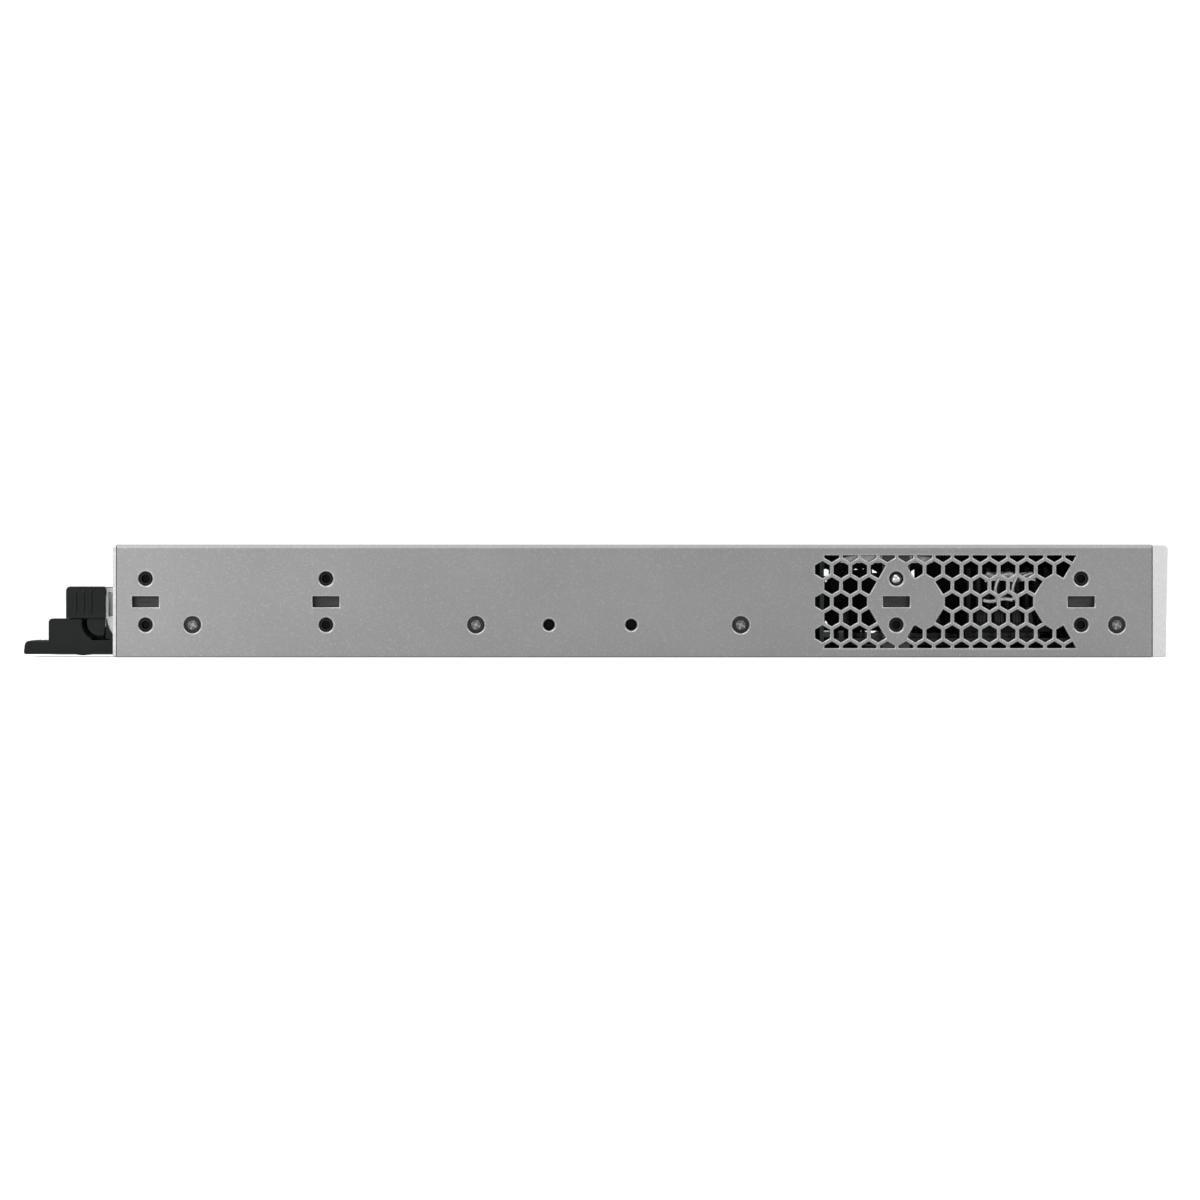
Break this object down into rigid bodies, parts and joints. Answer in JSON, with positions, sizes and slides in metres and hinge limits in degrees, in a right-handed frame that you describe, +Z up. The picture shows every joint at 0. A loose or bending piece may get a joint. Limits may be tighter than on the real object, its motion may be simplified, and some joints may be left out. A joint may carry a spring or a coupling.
{
  "type": "rackmount network switch",
  "caption": "Low, wide rackmount network switch with honeycomb side vents, front jacks and a plug-in uplink module, and rear fan modules and handled power supplies that slide out.",
  "frame": {"origin": "centre of the footprint, on the surface that the switch's floor stands on", "axes": "-Y is the front with the jacks, +Y the rear with the power supplies, +Z up, +X to the right as seen from the front"},
  "size_m": [0.444, 0.447, 0.044],
  "materials": {
    "silver_paint": "fine-grained satin silver-grey paint",
    "pale_silver": "smooth pale silver paint",
    "zinc_steel": "zinc-plated sheet steel",
    "shield_metal": "bright nickel-plated shield",
    "dark_zinc": "dark zinc-plated screw",
    "aluminium": "extruded heat sink",
    "black_plastic": "moulded black plastic with a fine texture",
    "jack_plastic": "black connector plastic",
    "board_green": "solder mask on a circuit board",
    "clear_plastic": "frosted clear light guide"
  },
  "bodies": {
    "chassis": {"chassis_base": "zinc_steel", "rear_panel": "zinc_steel", "front_panel": "zinc_steel", "front_bezel": "pale_silver", "top_cover": "silver_paint", "cover_screw_left_1": "dark_zinc", "cover_screw_left_2": "dark_zinc", "cover_screw_left_3": "dark_zinc", "cover_screw_left_4": "dark_zinc", "cover_screw_right_1": "dark_zinc", "cover_screw_right_2": "dark_zinc", "cover_screw_right_3": "dark_zinc", "cover_screw_right_4": "dark_zinc", "jack_bank_left": "jack_plastic", "jack_bank_right": "jack_plastic", "status_light_pipe": "clear_plastic", "usb_port": "shield_metal", "main_board": "board_green", "power_midplane": "board_green", "switch_chip_heatsink": "aluminium", "processor_heatsink": "aluminium", "management_jacks": "jack_plastic", "stack_port_1": "shield_metal", "stack_port_2": "shield_metal"},
    "mode_button": {"mode_button": "black_plastic"},
    "uplink_module": {"uplink_frame": "zinc_steel", "uplink_board": "board_green", "uplink_cages": "shield_metal"},
    "uplink_screw_left": {"uplink_screw_left": "dark_zinc"},
    "uplink_screw_right": {"uplink_screw_right": "dark_zinc"},
    "stack_cover_1": {"stack_cover_1": "black_plastic"},
    "stack_cover_2": {"stack_cover_2": "black_plastic"},
    "fan_1_module": {"fan_1_carrier": "zinc_steel", "fan_1_frame": "black_plastic"},
    "fan_1_rotor": {"fan_1_rotor": "black_plastic"},
    "fan_1_release": {"fan_1_release": "black_plastic"},
    "fan_2_module": {"fan_2_carrier": "zinc_steel", "fan_2_frame": "black_plastic"},
    "fan_2_rotor": {"fan_2_rotor": "black_plastic"},
    "fan_2_release": {"fan_2_release": "black_plastic"},
    "fan_3_module": {"fan_3_carrier": "zinc_steel", "fan_3_frame": "black_plastic"},
    "fan_3_rotor": {"fan_3_rotor": "black_plastic"},
    "fan_3_release": {"fan_3_release": "black_plastic"},
    "power_supply_1": {"psu_1_housing": "zinc_steel", "psu_1_board": "board_green", "psu_1_inlet": "jack_plastic", "psu_1_handle": "black_plastic", "psu_1_fan_frame": "black_plastic"},
    "psu_1_latch": {"psu_1_latch_leaf": "shield_metal", "psu_1_latch_pad": "black_plastic"},
    "psu_1_fan_rotor": {"psu_1_fan_rotor": "black_plastic"},
    "power_supply_2": {"psu_2_housing": "zinc_steel", "psu_2_board": "board_green", "psu_2_inlet": "jack_plastic", "psu_2_handle": "black_plastic", "psu_2_fan_frame": "black_plastic"},
    "psu_2_latch": {"psu_2_latch_leaf": "shield_metal", "psu_2_latch_pad": "black_plastic"},
    "psu_2_fan_rotor": {"psu_2_fan_rotor": "black_plastic"}
  },
  "joints": [
    {"name": "mode_button_press", "type": "slide", "parent": "chassis", "child": "mode_button", "axis": [0, 1, 0], "range_m": [0, 0.0008], "stiffness_N_per_m": 600, "springref_m": -0.0005},
    {"name": "uplink_module_slide", "type": "slide", "parent": "chassis", "child": "uplink_module", "axis": [0, -1, 0], "range_m": [0, 0.095]},
    {"name": "uplink_screw_left_turn", "type": "hinge", "parent": "uplink_module", "child": "uplink_screw_left", "pos_m": [0.1187, -0.219, 0.03], "axis": [0, -1, 0], "continuous": true},
    {"name": "uplink_screw_right_turn", "type": "hinge", "parent": "uplink_module", "child": "uplink_screw_right", "pos_m": [0.2073, -0.219, 0.03], "axis": [0, -1, 0], "continuous": true},
    {"name": "stack_cover_1_pull", "type": "slide", "parent": "chassis", "child": "stack_cover_1", "axis": [0, 1, 0], "range_m": [0, 0.015]},
    {"name": "stack_cover_2_pull", "type": "slide", "parent": "chassis", "child": "stack_cover_2", "axis": [0, 1, 0], "range_m": [0, 0.015]},
    {"name": "fan_1_module_slide", "type": "slide", "parent": "chassis", "child": "fan_1_module", "axis": [0, 1, 0], "range_m": [0, 0.1]},
    {"name": "fan_1_spin", "type": "hinge", "parent": "fan_1_module", "child": "fan_1_rotor", "pos_m": [-0.0245, 0.171, 0.0217], "axis": [0, 1, 0], "continuous": true},
    {"name": "fan_1_release_push", "type": "slide", "parent": "fan_1_module", "child": "fan_1_release", "axis": [-1, 0, 0], "range_m": [0, 0.0016], "stiffness_N_per_m": 800, "springref_m": -0.0005},
    {"name": "fan_2_module_slide", "type": "slide", "parent": "chassis", "child": "fan_2_module", "axis": [0, 1, 0], "range_m": [0, 0.1]},
    {"name": "fan_2_spin", "type": "hinge", "parent": "fan_2_module", "child": "fan_2_rotor", "pos_m": [0.0205, 0.171, 0.0217], "axis": [0, 1, 0], "continuous": true},
    {"name": "fan_2_release_push", "type": "slide", "parent": "fan_2_module", "child": "fan_2_release", "axis": [-1, 0, 0], "range_m": [0, 0.0016], "stiffness_N_per_m": 800, "springref_m": -0.0005},
    {"name": "fan_3_module_slide", "type": "slide", "parent": "chassis", "child": "fan_3_module", "axis": [0, 1, 0], "range_m": [0, 0.1]},
    {"name": "fan_3_spin", "type": "hinge", "parent": "fan_3_module", "child": "fan_3_rotor", "pos_m": [0.0655, 0.171, 0.0217], "axis": [0, 1, 0], "continuous": true},
    {"name": "fan_3_release_push", "type": "slide", "parent": "fan_3_module", "child": "fan_3_release", "axis": [-1, 0, 0], "range_m": [0, 0.0016], "stiffness_N_per_m": 800, "springref_m": -0.0005},
    {"name": "power_supply_1_slide", "type": "slide", "parent": "chassis", "child": "power_supply_1", "axis": [0, 1, 0], "range_m": [0, 0.28]},
    {"name": "psu_1_latch_press", "type": "hinge", "parent": "power_supply_1", "child": "psu_1_latch", "pos_m": [-0.2152, 0.15, 0.0172], "axis": [0, 0, -1], "range_deg": [0, 4], "stiffness_Nm_per_rad": 5, "springref_deg": -0.57},
    {"name": "psu_1_fan_spin", "type": "hinge", "parent": "power_supply_1", "child": "psu_1_fan_rotor", "pos_m": [-0.1565, 0.171, 0.0217], "axis": [0, 1, 0], "continuous": true},
    {"name": "power_supply_2_slide", "type": "slide", "parent": "chassis", "child": "power_supply_2", "axis": [0, 1, 0], "range_m": [0, 0.28]},
    {"name": "psu_2_latch_press", "type": "hinge", "parent": "power_supply_2", "child": "psu_2_latch", "pos_m": [-0.1292, 0.15, 0.0172], "axis": [0, 0, -1], "range_deg": [0, 4], "stiffness_Nm_per_rad": 5, "springref_deg": -0.57},
    {"name": "psu_2_fan_spin", "type": "hinge", "parent": "power_supply_2", "child": "psu_2_fan_rotor", "pos_m": [-0.0705, 0.171, 0.0217], "axis": [0, 1, 0], "continuous": true}
  ]
}
